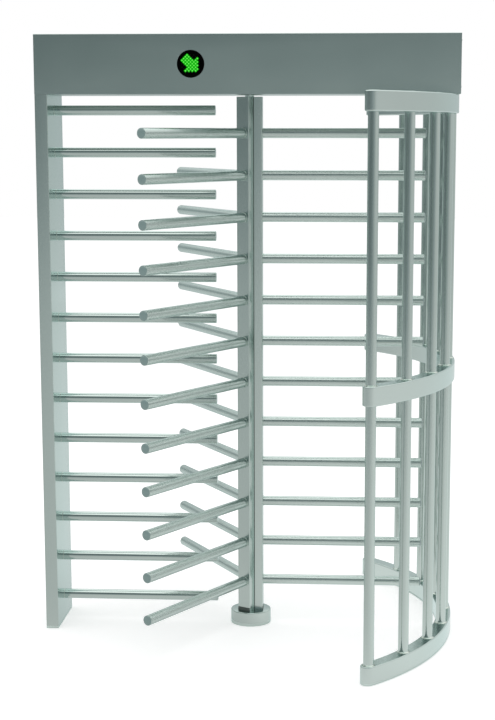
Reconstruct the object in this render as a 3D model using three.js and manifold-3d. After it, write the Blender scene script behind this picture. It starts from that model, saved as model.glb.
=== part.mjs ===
// Full height turnstile: a three-wing rotor between a fixed comb on a flat post
// and a curved cage of tubes, under a long sheet-metal head that holds the mechanism.
// Millimetres, +Z up. The origin is on the rotor's axis at floor level, the post
// stands at -X, the cage at +X, and -Y faces the person who walks in.

import * as THREE from "three";
import { mergeVertices } from "three/addons/utils/BufferGeometryUtils.js";
import Module from "manifold-3d";

const wasm = await Module();
wasm.setup();

// General clearances
const gap = 0.3; // between two pieces that touch
const overrun = 3; // how far a cutting tool runs past the faces it cuts
const weldTolerance = 0.001; // vertices closer than this are one vertex
const tubeSides = 12;
const pinSides = 16;
const roundSides = 24;
const wideSides = 36; // on the largest round pieces
const quarterTurn = Math.PI / 2;
const fullTurn = Math.PI * 2;

// Tube stock of the arms, the comb and the cage
const tubeRadius = 19;
const tubeWall = 2;
const tubeCap = 3; // the plate that closes a tube's end

// Rotor: three wings of arms around a core tube
const wingCount = 3;
const armCount = 12;
const armPitch = 160;
const lowestArmHeight = 175;
const armReach = 676; // axis to tip
const webDistance = 49.6; // axis to the outer face of a wing's channel
const webWidth = 56.6;
const channelSheet = 2;
const coreWall = 3;
const columnFootGap = 14; // from the cup up to the turning channels
const columnHeadGap = 7; // from the channels up to the head

// Foot of the rotor
const cupRadius = 79.5;
const cupHeight = 55;
const cupWall = 3;
const cupEdgeBevel = 2;
const pivotPlateThickness = 8;
const pivotPinRadius = 12;
const pivotPinLength = 74;
const pivotPinTopGap = 3; // above the pin, in its socket
const thrustBearingRadius = 22;
const thrustBearingHeight = 12;
const pivotSocketLength = 70;

// Fixed comb
const combRise = 86; // each comb tube above its arm
const combFreeEnd = 131; // rotor axis to the tubes' free ends
const combSocketDepth = 12; // how far a tube reaches into the post

// Post
const postClearance = 76; // from the arms' tips to the post
const postWidth = 48;
const postWall = 2;
const postTopPlate = 6;
const postBasePlate = 8;
const postAnchorRadius = 7;
const postAnchorSpacing = 200;

// Cage: an arc of upright tubes through three bands
const cageClearance = 73; // from the arms' tips to the middle tube
const cageRadius = 1020; // of the arc through the tubes' centre lines
const cageTubeCount = 9;
const cageTubeStep = THREE.MathUtils.degToRad(11.19);
const cageTubeFootGap = 2; // from the tubes' lower ends to the floor
const bandWidth = 54;
const bandHeight = 70;
const bandSheet = 2.5;
const middleBandShare = 0.5162; // of the height under the head, to the middle band's top
const bandOverhang = 4; // along the arc, from the end tubes' middles to the middles of the rounded ends
const bandArcSteps = 20;
const bandEndSteps = 6;

// Head
const headClearance = 58; // from the top comb tube's middle to the head's underside
const headHeight = 222;
const headDepth = 292;
const coverSheet = 2;
const traySheet = 3;
const trayFlangeGap = 30; // from the tray's flanges up to the indicators' housings

// Indicators on the front and the rear of the head
const indicatorX = -209;
const indicatorRimRadius = 51;
const indicatorRimThickness = 6;
const indicatorBodyRadius = 44;
const indicatorBodyDepth = 24;
const indicatorWall = 3;
const indicatorRecess = 1.5;
const indicatorPaneThickness = 4;

// Mechanism in the head
const mechanismPlateMargin = 7; // beyond the solenoids
const mechanismPlateInset = 10; // from the tray's flanges
const mechanismPlateThickness = 8;
const shaftRadius = 17.5;
const shaftPlugLength = 60;
const shaftAboveGear = 12;
const trayShaftHole = 36;
const bearingHousingRadius = 42;
const bearingHousingHeight = 22;
const wheelSideRoom = 40.7; // from the index wheel to the tray's flanges
const wheelThickness = 12;
const wheelLift = 8; // above the bearing housing
const wheelNotches = 12;
const notchWidth = 27;
const notchDepth = 13;
const hubRadius = 28;
const gearLift = 8; // above the index wheel
const gearThickness = 10;
const gearTeeth = 36;
const pinionTeeth = 9;
const toothModuleShare = 0.05; // of the index wheel's radius
const toothAddendumShare = 0.72; // of the module
const toothDedendumShare = 1.08;
const toothRootShare = 0.27; // half a tooth's width at the root, as a share of the tooth pitch
const toothTipShare = 0.1;
const pinionDirection = THREE.MathUtils.degToRad(-60);
const pinionSpindleRadius = 5;
const pinionSpindleDepth = 20; // inside the damper
const pinionBossRadius = 9;
const damperShare = 0.26; // the damper's radius, as a share of the index wheel's
const damperTopGap = 6; // under the index wheel

// Locking pawls and their solenoids
const pawlPivotDistance = 27; // beside the index wheel's rim
const pawlPivotShare = 0.95; // in front of the axis, as a share of the wheel's radius
const pawlWidth = 16;
const pawlThickness = 10;
const pawlEyeRadius = 12;
const pawlTailY = 66;
const pawlPinRadius = 6;
const pawlPinShoulder = 10;
const pawlPinProud = 4; // above the pawl
const noseWidth = 13;
const noseRelease = 2.5; // from a released nose to the wheel's rim
const plungerY = 48;
const plungerRadius = 5.5;
const plungerReach = 26; // out of the solenoid at rest
const plungerInside = 34;
const plungerHeadRadius = 9;
const plungerHeadThickness = 4;
const solenoidLength = 62;
const solenoidDepth = 40;
const solenoidAbovePlunger = 20;

// Other things in the head
const sensorBracketWidth = 30;
const sensorBracketThickness = 4;
const sensorBracketDistance = 12; // from the wheel's rim to the bracket
const sensorBracketProud = 14; // above the sensor's middle
const sensorRadius = 6;
const sensorTail = 12; // behind the bracket
const sensorClearance = 2; // from the wheel's rim
const controlBoxLength = 260;
const controlBoxDepth = 190;
const controlBoxHeight = 120;
const controlBoxInset = 280; // from the head's left end to the box's middle
const controlBoxSheet = 2;
const supplyLength = 200;
const supplyDepth = 110;
const supplyHeight = 56;
const supplyInset = 315; // from the head's right end to the supply's middle
const supplySheet = 2;

// Places worked out from the sizes above
const topArmHeight = lowestArmHeight + (armCount - 1) * armPitch;
const topCombHeight = topArmHeight + combRise;
const headUnderside = topCombHeight + headClearance;
const headTop = headUnderside + headHeight;
const postInnerX = -armReach - postClearance;
const postOuterX = postInnerX - postWidth;
const cageCentreX = armReach + cageClearance + tubeRadius - cageRadius;
const indicatorRise = headHeight / 2; // above the head's underside
const trayFlange = indicatorRise - indicatorBodyRadius - trayFlangeGap;
const bandTopRest = headUnderside - gap;
const halfDepth = headDepth / 2;
const trayInnerHalf = halfDepth - coverSheet - gap - traySheet;
const headRight = cageCentreX + cageRadius + bandWidth / 2;
const cageHalfAngle = ((cageTubeCount - 1) / 2) * cageTubeStep;
const controlBoxX = postOuterX + controlBoxInset;
const supplyX = headRight - supplyInset;
const columnBottom = cupHeight + columnFootGap;
const columnTop = headUnderside - columnHeadGap;
const wingAngle = fullTurn / wingCount;
const halfWeb = webWidth / 2;
// A channel's flanges end at the plane midway to the next channel.
const flangeEnd = (gap / 2 + halfWeb * Math.cos(wingAngle / 2)) / Math.sin(wingAngle / 2);
const coreRadius = Math.hypot(flangeEnd, halfWeb - channelSheet) - gap;
const coreInner = coreRadius - coreWall;
const combCount = armCount + 1;
const trayTop = headUnderside + traySheet;
const plateBottom = trayTop + gap;
const plateTop = plateBottom + mechanismPlateThickness;
const bearingTop = plateTop + gap + bearingHousingHeight;
const wheelBottom = bearingTop + wheelLift;
const wheelTop = wheelBottom + wheelThickness;
const gearBottom = wheelTop + gearLift;
const gearTop = gearBottom + gearThickness;
const shaftTop = gearTop + shaftAboveGear;
const wheelRadius = trayInnerHalf - wheelSideRoom;
const sensorBracketY = wheelRadius + sensorBracketDistance;
const damperRadius = damperShare * wheelRadius;
const toothModule = toothModuleShare * wheelRadius;
const toothAddendum = toothAddendumShare * toothModule;
const toothDedendum = toothDedendumShare * toothModule;
const gearPitchRadius = (gearTeeth * toothModule) / 2;
const pinionPitchRadius = (pinionTeeth * toothModule) / 2;
const gearDistance = gearPitchRadius + pinionPitchRadius;
const pawlBottom = wheelBottom + (wheelThickness - pawlThickness) / 2;
const pawlMiddle = pawlBottom + pawlThickness / 2;
const pawlPivotX = wheelRadius + pawlPivotDistance;
const pawlPivotY = -pawlPivotShare * wheelRadius;
// The solenoid stands beside the pawl's tail and pushes it along X.
const plungerFace = pawlPivotX + pawlWidth / 2 + gap;
const solenoidFace = plungerFace + plungerReach;
const mechanismPlateLength = 2 * (solenoidFace + solenoidLength + mechanismPlateMargin);
const mechanismPlateDepth = 2 * (trayInnerHalf - mechanismPlateInset);

// The radius of a round hole of this many sides that a turning round piece clears.
function runningHole(radius, sides = roundSides) {
  return (radius + gap) / Math.cos(Math.PI / sides);
}

// Materials
const satinSteel = new THREE.MeshStandardMaterial({ color: 0xb4beba, roughness: 0.3, metalness: 1 });
const darkSteel = new THREE.MeshStandardMaterial({ color: 0x8f9a96, roughness: 0.35, metalness: 1 });
const machinedSteel = new THREE.MeshStandardMaterial({ color: 0xa8aaa8, roughness: 0.4, metalness: 1 });
const zincPlate = new THREE.MeshStandardMaterial({ color: 0xb9bcb4, roughness: 0.5, metalness: 0.8 });
const blackPlastic = new THREE.MeshStandardMaterial({ color: 0x15171a, roughness: 0.5, metalness: 0 });
const displayPane = new THREE.MeshStandardMaterial({ color: 0x0a120c, roughness: 0.15, metalness: 0 });
const greyEnamel = new THREE.MeshStandardMaterial({ color: 0x7d8386, roughness: 0.6, metalness: 0.1 });
const brass = new THREE.MeshStandardMaterial({ color: 0xb58d4a, roughness: 0.35, metalness: 1 });
const blackOxide = new THREE.MeshStandardMaterial({ color: 0x2b2d2f, roughness: 0.5, metalness: 0.7 });

// Solids: joining and cutting of closed meshes

function solidOf(geometry) {
  const loose = geometry.index ? geometry.toNonIndexed() : geometry;
  const bare = new THREE.BufferGeometry();
  bare.setAttribute("position", loose.getAttribute("position").clone());
  const merged = mergeVertices(bare, weldTolerance);
  return new wasm.Manifold(
    new wasm.Mesh({
      numProp: 3,
      vertProperties: merged.getAttribute("position").array,
      triVerts: new Uint32Array(merged.index.array),
    }),
  );
}

function geometryOf(solid) {
  const mesh = solid.getMesh();
  const geometry = new THREE.BufferGeometry();
  geometry.setAttribute("position", new THREE.BufferAttribute(mesh.vertProperties, mesh.numProp));
  geometry.setIndex(new THREE.BufferAttribute(mesh.triVerts, 1));
  const flat = geometry.toNonIndexed();
  flat.computeVertexNormals();
  return flat;
}

function join(first, ...others) {
  const joined = others.reduce((sum, other) => sum.add(solidOf(other)), solidOf(first));
  return geometryOf(joined);
}

function cut(body, ...tools) {
  const left = tools.reduce((rest, tool) => rest.subtract(solidOf(tool)), solidOf(body));
  return geometryOf(left);
}

// Basic shapes

// A block between two corners.
function block(x0, x1, y0, y1, z0, z1) {
  const box = new THREE.BoxGeometry(x1 - x0, y1 - y0, z1 - z0);
  return box.translate((x0 + x1) / 2, (y0 + y1) / 2, (z0 + z1) / 2);
}

// A turned piece around Z, from [radius, height] points that go up the outside.
function turned(profile, sides = roundSides) {
  const points = profile.map(([radius, height]) => new THREE.Vector2(radius, height));
  return new THREE.LatheGeometry(points, sides).rotateX(quarterTurn);
}

function disc(radius, z0, z1, sides = roundSides) {
  return turned([[0, z0], [radius, z0], [radius, z1], [0, z1]], sides);
}

function ring(innerRadius, outerRadius, z0, z1, sides = roundSides) {
  const profile = [[innerRadius, z0], [outerRadius, z0], [outerRadius, z1], [innerRadius, z1]];
  return turned([...profile, profile[0]], sides);
}

// An outline of [x, y] points pushed up along Z.
function prism(outline, z0, z1) {
  const shape = new THREE.Shape(outline.map(([x, y]) => new THREE.Vector2(x, y)));
  const options = { depth: z1 - z0, bevelEnabled: false };
  return new THREE.ExtrudeGeometry(shape, options).translate(0, 0, z0);
}

// A tube along Z, open at z0 and closed at z1 by a flat cap.
function cappedTube(radius, wall, cap, z0, z1) {
  const outside = [[radius - wall, z0], [radius, z0], [radius, z1], [0, z1]];
  const bore = [[0, z1 - cap], [radius - wall, z1 - cap], [radius - wall, z0]];
  return turned([...outside, ...bore], tubeSides);
}

function piece(name, geometry, material) {
  const mesh = new THREE.Mesh(geometry, material);
  mesh.name = name;
  return mesh;
}

// Rotor

function armHeights() {
  return Array.from({ length: armCount }, (_, row) => topArmHeight - row * armPitch);
}

// One wing along +X: a U-shaped channel with its arms welded through the web.
function wingGeometry() {
  const inside = halfWeb - channelSheet;
  const section = [
    [flangeEnd, -halfWeb],
    [webDistance, -halfWeb],
    [webDistance, halfWeb],
    [flangeEnd, halfWeb],
    [flangeEnd, inside],
    [webDistance - channelSheet, inside],
    [webDistance - channelSheet, -inside],
    [flangeEnd, -inside],
  ];
  const channel = prism(section, columnBottom, columnTop);
  const along = (geometry, height) => geometry.rotateY(quarterTurn).translate(0, 0, height);
  const holes = armHeights().map((height) =>
    along(disc(tubeRadius - tubeWall / 2, flangeEnd, webDistance + overrun, tubeSides), height),
  );
  const start = coreRadius + gap;
  const arms = armHeights().map((height) =>
    along(cappedTube(tubeRadius, tubeWall, tubeCap, start, armReach), height),
  );
  return join(cut(channel, ...holes), ...arms);
}

function makeRotor() {
  const rotor = new THREE.Group();
  const wing = wingGeometry();
  ["rotor_wing_right", "rotor_wing_rear", "rotor_wing_front"].forEach((name, index) => {
    const mesh = piece(name, wing, satinSteel);
    mesh.rotation.z = index * wingAngle;
    rotor.add(mesh);
  });
  const coreBottom = pivotPlateThickness + gap + thrustBearingHeight + gap;
  rotor.add(piece("core_tube", ring(coreInner, coreRadius, coreBottom, columnTop), darkSteel));
  rotor.add(piece("pivot_socket", pivotSocket(coreBottom), machinedSteel));
  rotor.add(piece("drive_shaft", driveShaft(), machinedSteel));
  rotor.add(piece("index_wheel", indexWheel(), machinedSteel));
  rotor.add(piece("damper_gear", damperGear(), machinedSteel));
  return rotor;
}

// The plug in the core tube's lower end that turns on the fixed pin.
function pivotSocket(bottom) {
  const plug = disc(coreInner - gap, bottom, bottom + pivotSocketLength);
  const pinTop = pivotPlateThickness + pivotPinLength;
  return cut(plug, disc(runningHole(pivotPinRadius), bottom - overrun, pinTop + pivotPinTopGap));
}

// The shaft that stands on the core tube's top plug and carries wheel and gear.
function driveShaft() {
  const plugRadius = coreInner - gap;
  return turned([
    [0, columnTop - shaftPlugLength],
    [plugRadius, columnTop - shaftPlugLength],
    [plugRadius, columnTop],
    [shaftRadius, columnTop],
    [shaftRadius, shaftTop],
    [0, shaftTop],
  ]);
}

function indexWheel() {
  const hub = disc(hubRadius, bearingTop + gap, gearBottom - gap);
  const wheel = join(disc(wheelRadius, wheelBottom, wheelTop, wideSides), hub);
  const notches = Array.from({ length: wheelNotches }, (_, index) =>
    block(
      wheelRadius - notchDepth,
      wheelRadius + overrun,
      -notchWidth / 2,
      notchWidth / 2,
      wheelBottom - overrun,
      wheelTop + overrun,
    ).rotateZ((index * fullTurn) / wheelNotches),
  );
  return cut(wheel, ...notches, disc(shaftRadius + gap, bearingTop - overrun, gearBottom + overrun));
}

// The outline of a gear whose tooth number 0, or gap number 0, points along +X.
function gearOutline(teeth, pitchRadius, firstIsGap) {
  const pitchAngle = fullTurn / teeth;
  const root = pitchRadius - toothDedendum;
  const tip = pitchRadius + toothAddendum;
  const corners = [
    [-toothRootShare, root],
    [-toothTipShare, tip],
    [toothTipShare, tip],
    [toothRootShare, root],
  ];
  return Array.from({ length: teeth }, (_, tooth) => {
    const middle = (tooth + (firstIsGap ? 1 / 2 : 0)) * pitchAngle;
    return corners.map(([share, radius]) => [
      radius * Math.cos(middle + share * pitchAngle),
      radius * Math.sin(middle + share * pitchAngle),
    ]);
  }).flat();
}

function damperGear() {
  const gear = prism(gearOutline(gearTeeth, gearPitchRadius, false), gearBottom, gearTop);
  const bore = disc(shaftRadius + gap, gearBottom - overrun, gearTop + overrun);
  return cut(gear.rotateZ(pinionDirection), bore);
}

// Foot of the rotor

function makeFoot() {
  const foot = new THREE.Group();
  const inner = cupRadius - cupWall;
  const hole = runningHole(coreRadius);
  const cup = turned([
    [inner, 0],
    [cupRadius, 0],
    [cupRadius, cupHeight - cupEdgeBevel],
    [cupRadius - cupEdgeBevel, cupHeight],
    [hole, cupHeight],
    [hole, cupHeight - cupWall],
    [inner, cupHeight - cupWall],
    [inner, 0],
  ]);
  const pinTop = pivotPlateThickness + pivotPinLength;
  const stand = turned([
    [0, 0],
    [inner - gap, 0],
    [inner - gap, pivotPlateThickness],
    [pivotPinRadius, pivotPlateThickness],
    [pivotPinRadius, pinTop],
    [0, pinTop],
  ]);
  const bearingBottom = pivotPlateThickness + gap;
  const bearing = ring(
    pivotPinRadius + gap,
    thrustBearingRadius,
    bearingBottom,
    bearingBottom + thrustBearingHeight,
  );
  foot.add(piece("base_cup", cup, satinSteel));
  foot.add(piece("pivot_stand", stand, machinedSteel));
  foot.add(piece("thrust_bearing", bearing, brass));
  return foot;
}

// Post and comb

function combHeights() {
  return Array.from({ length: combCount }, (_, row) => topCombHeight - row * armPitch);
}

function postBox() {
  const shell = block(postOuterX, postInnerX, -halfDepth, halfDepth, 0, bandTopRest);
  const hollow = block(
    postOuterX + postWall,
    postInnerX - postWall,
    -halfDepth + postWall,
    halfDepth - postWall,
    -overrun,
    bandTopRest - postTopPlate,
  );
  const sockets = combHeights().map((height) =>
    disc(tubeRadius + gap, 0, postWall + 2 * overrun, tubeSides)
      .rotateY(quarterTurn)
      .translate(postInnerX - postWall - overrun, 0, height),
  );
  return cut(shell, hollow, ...sockets);
}

function postBasePlateGeometry() {
  const inset = postWall + gap;
  const plate = block(
    postOuterX + inset,
    postInnerX - inset,
    -halfDepth + inset,
    halfDepth - inset,
    0,
    postBasePlate,
  );
  const middleX = postOuterX + postWidth / 2;
  const anchors = [-postAnchorSpacing / 2, postAnchorSpacing / 2].map((y) =>
    disc(postAnchorRadius, -overrun, postBasePlate + overrun, tubeSides).translate(middleX, y, 0),
  );
  return cut(plate, ...anchors);
}

function makePostAndComb() {
  const side = new THREE.Group();
  side.add(piece("post_box", postBox(), satinSteel));
  side.add(piece("post_base_plate", postBasePlateGeometry(), zincPlate));
  const start = postInnerX - combSocketDepth;
  const length = -combFreeEnd - start;
  const tube = cappedTube(tubeRadius, tubeWall, tubeCap, 0, length).rotateY(quarterTurn);
  combHeights().forEach((height, row) => {
    const mesh = piece(`comb_tube_${String(row + 1).padStart(2, "0")}`, tube, satinSteel);
    mesh.position.set(start, 0, height);
    side.add(mesh);
  });
  return side;
}

// Cage

function arcPoints(centreX, centreY, radius, from, to, steps) {
  return Array.from({ length: steps + 1 }, (_, step) => {
    const angle = from + ((to - from) * step) / steps;
    return [centreX + radius * Math.cos(angle), centreY + radius * Math.sin(angle)];
  });
}

// The outline of a band that reaches this far to each side of the tubes' centre line.
function bandOutline(reach) {
  const half = cageHalfAngle + bandOverhang / cageRadius;
  const endX = cageCentreX + cageRadius * Math.cos(half);
  const endY = cageRadius * Math.sin(half);
  const turn = Math.PI;
  const outer = arcPoints(cageCentreX, 0, cageRadius + reach, -half, half, bandArcSteps);
  const inner = arcPoints(cageCentreX, 0, cageRadius - reach, half, -half, bandArcSteps);
  const far = arcPoints(endX, endY, reach, half, half + turn, bandEndSteps);
  const near = arcPoints(endX, -endY, reach, turn - half, fullTurn - half, bandEndSteps);
  return [...outer, ...far.slice(1, -1), ...inner, ...near.slice(1, -1)];
}

function cageTubePlaces() {
  return Array.from({ length: cageTubeCount }, (_, index) => {
    const angle = index * cageTubeStep - cageHalfAngle;
    return [cageCentreX + cageRadius * Math.cos(angle), cageRadius * Math.sin(angle)];
  });
}

function bandGeometry() {
  const shell = prism(bandOutline(bandWidth / 2), 0, bandHeight);
  const hollow = prism(bandOutline(bandWidth / 2 - bandSheet), bandSheet, bandHeight - bandSheet);
  const holes = cageTubePlaces().map(([x, y]) =>
    disc(tubeRadius + gap, -overrun, bandHeight + overrun, tubeSides).translate(x, y, 0),
  );
  return cut(shell, hollow, ...holes);
}

function makeCage() {
  const cage = new THREE.Group();
  const band = bandGeometry();
  const bottoms = {
    cage_band_bottom: 0,
    cage_band_middle: middleBandShare * bandTopRest - bandHeight,
    cage_band_top: bandTopRest - bandHeight,
  };
  for (const [name, bottom] of Object.entries(bottoms)) {
    const mesh = piece(name, band, satinSteel);
    mesh.position.z = bottom;
    cage.add(mesh);
  }
  const tube = cappedTube(tubeRadius, tubeWall, tubeCap, cageTubeFootGap, bandTopRest);
  cageTubePlaces().forEach(([x, y], index) => {
    const mesh = piece(`cage_tube_${index + 1}`, tube, satinSteel);
    mesh.position.set(x, y, 0);
    cage.add(mesh);
  });
  return cage;
}

// Head

function headTray() {
  const inset = coverSheet + gap;
  const left = postOuterX + inset;
  const right = headRight - inset;
  const front = -halfDepth + inset;
  const back = halfDepth - inset;
  const channel = block(left, right, front, back, headUnderside, headUnderside + trayFlange);
  const hollow = block(
    left - overrun,
    right + overrun,
    front + traySheet,
    back - traySheet,
    trayTop,
    headUnderside + trayFlange + overrun,
  );
  const shaftHole = disc(trayShaftHole, headUnderside - overrun, trayTop + overrun);
  return cut(channel, hollow, shaftHole);
}

// A round tool along Y at the indicators' place, from y0 to y1.
function indicatorHole(radius, y0, y1) {
  return disc(radius, y0, y1)
    .rotateX(-quarterTurn)
    .translate(indicatorX, 0, headUnderside + indicatorRise);
}

function headCover() {
  const shell = block(postOuterX, headRight, -halfDepth, halfDepth, headUnderside, headTop);
  const hollow = block(
    postOuterX + coverSheet,
    headRight - coverSheet,
    -halfDepth + coverSheet,
    halfDepth - coverSheet,
    headUnderside - overrun,
    headTop - coverSheet,
  );
  const holes = indicatorHole(indicatorBodyRadius + gap, -headDepth, headDepth);
  return cut(shell, hollow, holes);
}

// The indicator's housing looks along +Z here: a rim in front of the sheet and a cup behind it.
function indicatorHousing() {
  const body = indicatorBodyRadius;
  const front = gap + indicatorRimThickness;
  const floor = indicatorWall - indicatorBodyDepth;
  return turned([
    [0, -indicatorBodyDepth],
    [body, -indicatorBodyDepth],
    [body, gap],
    [indicatorRimRadius, gap],
    [indicatorRimRadius, front - indicatorRecess],
    [indicatorRimRadius - indicatorRecess, front],
    [body - indicatorWall, front],
    [body - indicatorWall, floor],
    [0, floor],
  ]);
}

function indicatorDisplay() {
  const face = gap + indicatorRimThickness - indicatorRecess;
  const floor = indicatorWall - indicatorBodyDepth + gap;
  const pane = indicatorBodyRadius - indicatorWall - gap;
  const post = pane / 2;
  return turned([
    [0, floor],
    [post, floor],
    [post, face - indicatorPaneThickness],
    [pane, face - indicatorPaneThickness],
    [pane, face],
    [0, face],
  ]);
}

function makeIndicator(side, y, facing) {
  const indicator = new THREE.Group();
  indicator.position.set(indicatorX, y, headUnderside + indicatorRise);
  indicator.rotation.x = facing * quarterTurn;
  indicator.add(piece(`indicator_${side}_housing`, indicatorHousing(), blackPlastic));
  indicator.add(piece(`indicator_${side}_display`, indicatorDisplay(), displayPane));
  return indicator;
}

// Mechanism

function mechanismPlate() {
  const halfLength = mechanismPlateLength / 2;
  const halfPlate = mechanismPlateDepth / 2;
  const plate = block(-halfLength, halfLength, -halfPlate, halfPlate, plateBottom, plateTop);
  return cut(plate, disc(trayShaftHole, plateBottom - overrun, plateTop + overrun));
}

function pawlPin() {
  const shoulderTop = pawlBottom - gap;
  const top = pawlBottom + pawlThickness + pawlPinProud;
  return turned([
    [0, plateTop + gap],
    [pawlPinShoulder, plateTop + gap],
    [pawlPinShoulder, shoulderTop],
    [pawlPinRadius, shoulderTop],
    [pawlPinRadius, top],
    [0, top],
  ], pinSides);
}

// The right-hand pawl, released: an eye on the pin, a nose beside the wheel and a straight tail.
function lockPawl() {
  const top = pawlBottom + pawlThickness;
  const half = pawlWidth / 2;
  const bar = block(-half, half, 0, pawlTailY - pawlPivotY, pawlBottom, top);
  const noseTip = wheelRadius + noseRelease - pawlPivotX;
  const noseY = -pawlPivotY;
  const nose = block(noseTip, 0, noseY - noseWidth / 2, noseY + noseWidth / 2, pawlBottom, top);
  const eye = disc(pawlEyeRadius, pawlBottom, top);
  const bore = disc(runningHole(pawlPinRadius, pinSides), pawlBottom - overrun, top + overrun, pinSides);
  return cut(join(bar, nose, eye), bore);
}

function solenoid() {
  const y0 = plungerY - solenoidDepth / 2;
  const y1 = plungerY + solenoidDepth / 2;
  const top = pawlMiddle + solenoidAbovePlunger;
  const body = block(solenoidFace, solenoidFace + solenoidLength, y0, y1, plateTop + gap, top);
  const depth = plungerInside + plungerReach;
  const bore = disc(runningHole(plungerRadius, pinSides), -overrun, depth, pinSides)
    .rotateY(quarterTurn)
    .translate(solenoidFace, plungerY, pawlMiddle);
  return cut(body, bore);
}

function plunger() {
  return turned([
    [0, 0],
    [plungerHeadRadius, 0],
    [plungerHeadRadius, plungerHeadThickness],
    [plungerRadius, plungerHeadThickness],
    [plungerRadius, plungerReach + plungerInside],
    [0, plungerReach + plungerInside],
  ], pinSides)
    .rotateY(quarterTurn)
    .translate(plungerFace, plungerY, pawlMiddle);
}

// The same geometry on the other side of the rotor's axis, facing out again.
function mirrored(geometry) {
  const flipped = geometry.clone().scale(-1, 1, 1);
  const position = flipped.getAttribute("position");
  const order = flipped.index ? Array.from(flipped.index.array) : [...Array(position.count).keys()];
  for (let corner = 0; corner < order.length; corner += 3) {
    [order[corner + 1], order[corner + 2]] = [order[corner + 2], order[corner + 1]];
  }
  flipped.setIndex(order);
  return flipped;
}

function makeLockingSide(side, mirror) {
  const place = (geometry) => (mirror ? mirrored(geometry) : geometry);
  const locking = new THREE.Group();
  const pin = pawlPin().translate(pawlPivotX, pawlPivotY, 0);
  const pawl = lockPawl().translate(pawlPivotX, pawlPivotY, 0);
  locking.add(piece(`pawl_pin_${side}`, place(pin), machinedSteel));
  locking.add(piece(`lock_pawl_${side}`, place(pawl), blackOxide));
  locking.add(piece(`solenoid_${side}`, place(solenoid()), zincPlate));
  locking.add(piece(`plunger_${side}`, place(plunger()), machinedSteel));
  return locking;
}

function makeDamper() {
  const damper = new THREE.Group();
  damper.position.set(
    gearDistance * Math.cos(pinionDirection),
    gearDistance * Math.sin(pinionDirection),
    0,
  );
  const bottom = plateTop + gap;
  const top = wheelBottom - damperTopGap;
  const bore = disc(runningHole(pinionSpindleRadius), top - pinionSpindleDepth - gap, top + overrun);
  damper.add(piece("damper_body", cut(disc(damperRadius, bottom, top), bore), blackOxide));
  const outline = gearOutline(pinionTeeth, pinionPitchRadius, true);
  const teeth = prism(outline, gearBottom, gearTop).rotateZ(pinionDirection + Math.PI);
  const boss = disc(pinionBossRadius, gearBottom - gearLift / 2, gearTop);
  const spindle = disc(pinionSpindleRadius, top - pinionSpindleDepth, gearTop);
  damper.add(piece("damper_pinion", join(teeth, boss, spindle), machinedSteel));
  return damper;
}

// A bracket behind the wheel that holds the position sensor level with its notches.
function positionSensor() {
  const half = sensorBracketWidth / 2;
  const middle = (wheelBottom + wheelTop) / 2;
  const back = sensorBracketY + sensorBracketThickness;
  const bracket = block(
    -half,
    half,
    sensorBracketY,
    back,
    plateTop + gap,
    middle + sensorBracketProud,
  );
  const barrel = disc(sensorRadius, wheelRadius + sensorClearance, back + sensorTail, tubeSides)
    .rotateX(-quarterTurn)
    .translate(0, 0, middle);
  return join(bracket, barrel);
}

// A sheet-metal case on the tray, open below.
function sheetCase(length, depth, height, sheet, middleX) {
  const bottom = trayTop + gap;
  const outer = block(
    middleX - length / 2,
    middleX + length / 2,
    -depth / 2,
    depth / 2,
    bottom,
    bottom + height,
  );
  const inner = block(
    middleX - length / 2 + sheet,
    middleX + length / 2 - sheet,
    -depth / 2 + sheet,
    depth / 2 - sheet,
    bottom - overrun,
    bottom + height - sheet,
  );
  return cut(outer, inner);
}

function makeMechanism() {
  const mechanism = new THREE.Group();
  mechanism.add(piece("mechanism_plate", mechanismPlate(), zincPlate));
  const bearing = ring(
    runningHole(shaftRadius),
    bearingHousingRadius,
    plateTop + gap,
    bearingTop,
  );
  mechanism.add(piece("upper_bearing", bearing, blackOxide));
  mechanism.add(makeLockingSide("right", false));
  mechanism.add(makeLockingSide("left", true));
  mechanism.add(makeDamper());
  mechanism.add(piece("position_sensor", positionSensor(), blackPlastic));
  const control = sheetCase(
    controlBoxLength,
    controlBoxDepth,
    controlBoxHeight,
    controlBoxSheet,
    controlBoxX,
  );
  mechanism.add(piece("control_box", control, greyEnamel));
  const supply = sheetCase(supplyLength, supplyDepth, supplyHeight, supplySheet, supplyX);
  mechanism.add(piece("power_supply", supply, zincPlate));
  return mechanism;
}

function makeHead() {
  const head = new THREE.Group();
  head.add(piece("head_tray", headTray(), zincPlate));
  head.add(piece("head_cover", headCover(), darkSteel));
  head.add(makeIndicator("front", -halfDepth, 1));
  head.add(makeIndicator("rear", halfDepth, -1));
  return head;
}

const group = new THREE.Group();
group.add(makeRotor());
group.add(makeFoot());
group.add(makePostAndComb());
group.add(makeCage());
group.add(makeHead());
group.add(makeMechanism());

export default group;
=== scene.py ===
"""Looks of the full height turnstile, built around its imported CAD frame. Metres, +Z up."""

import math

import bmesh
import bpy
from mathutils import Matrix, Vector


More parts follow.
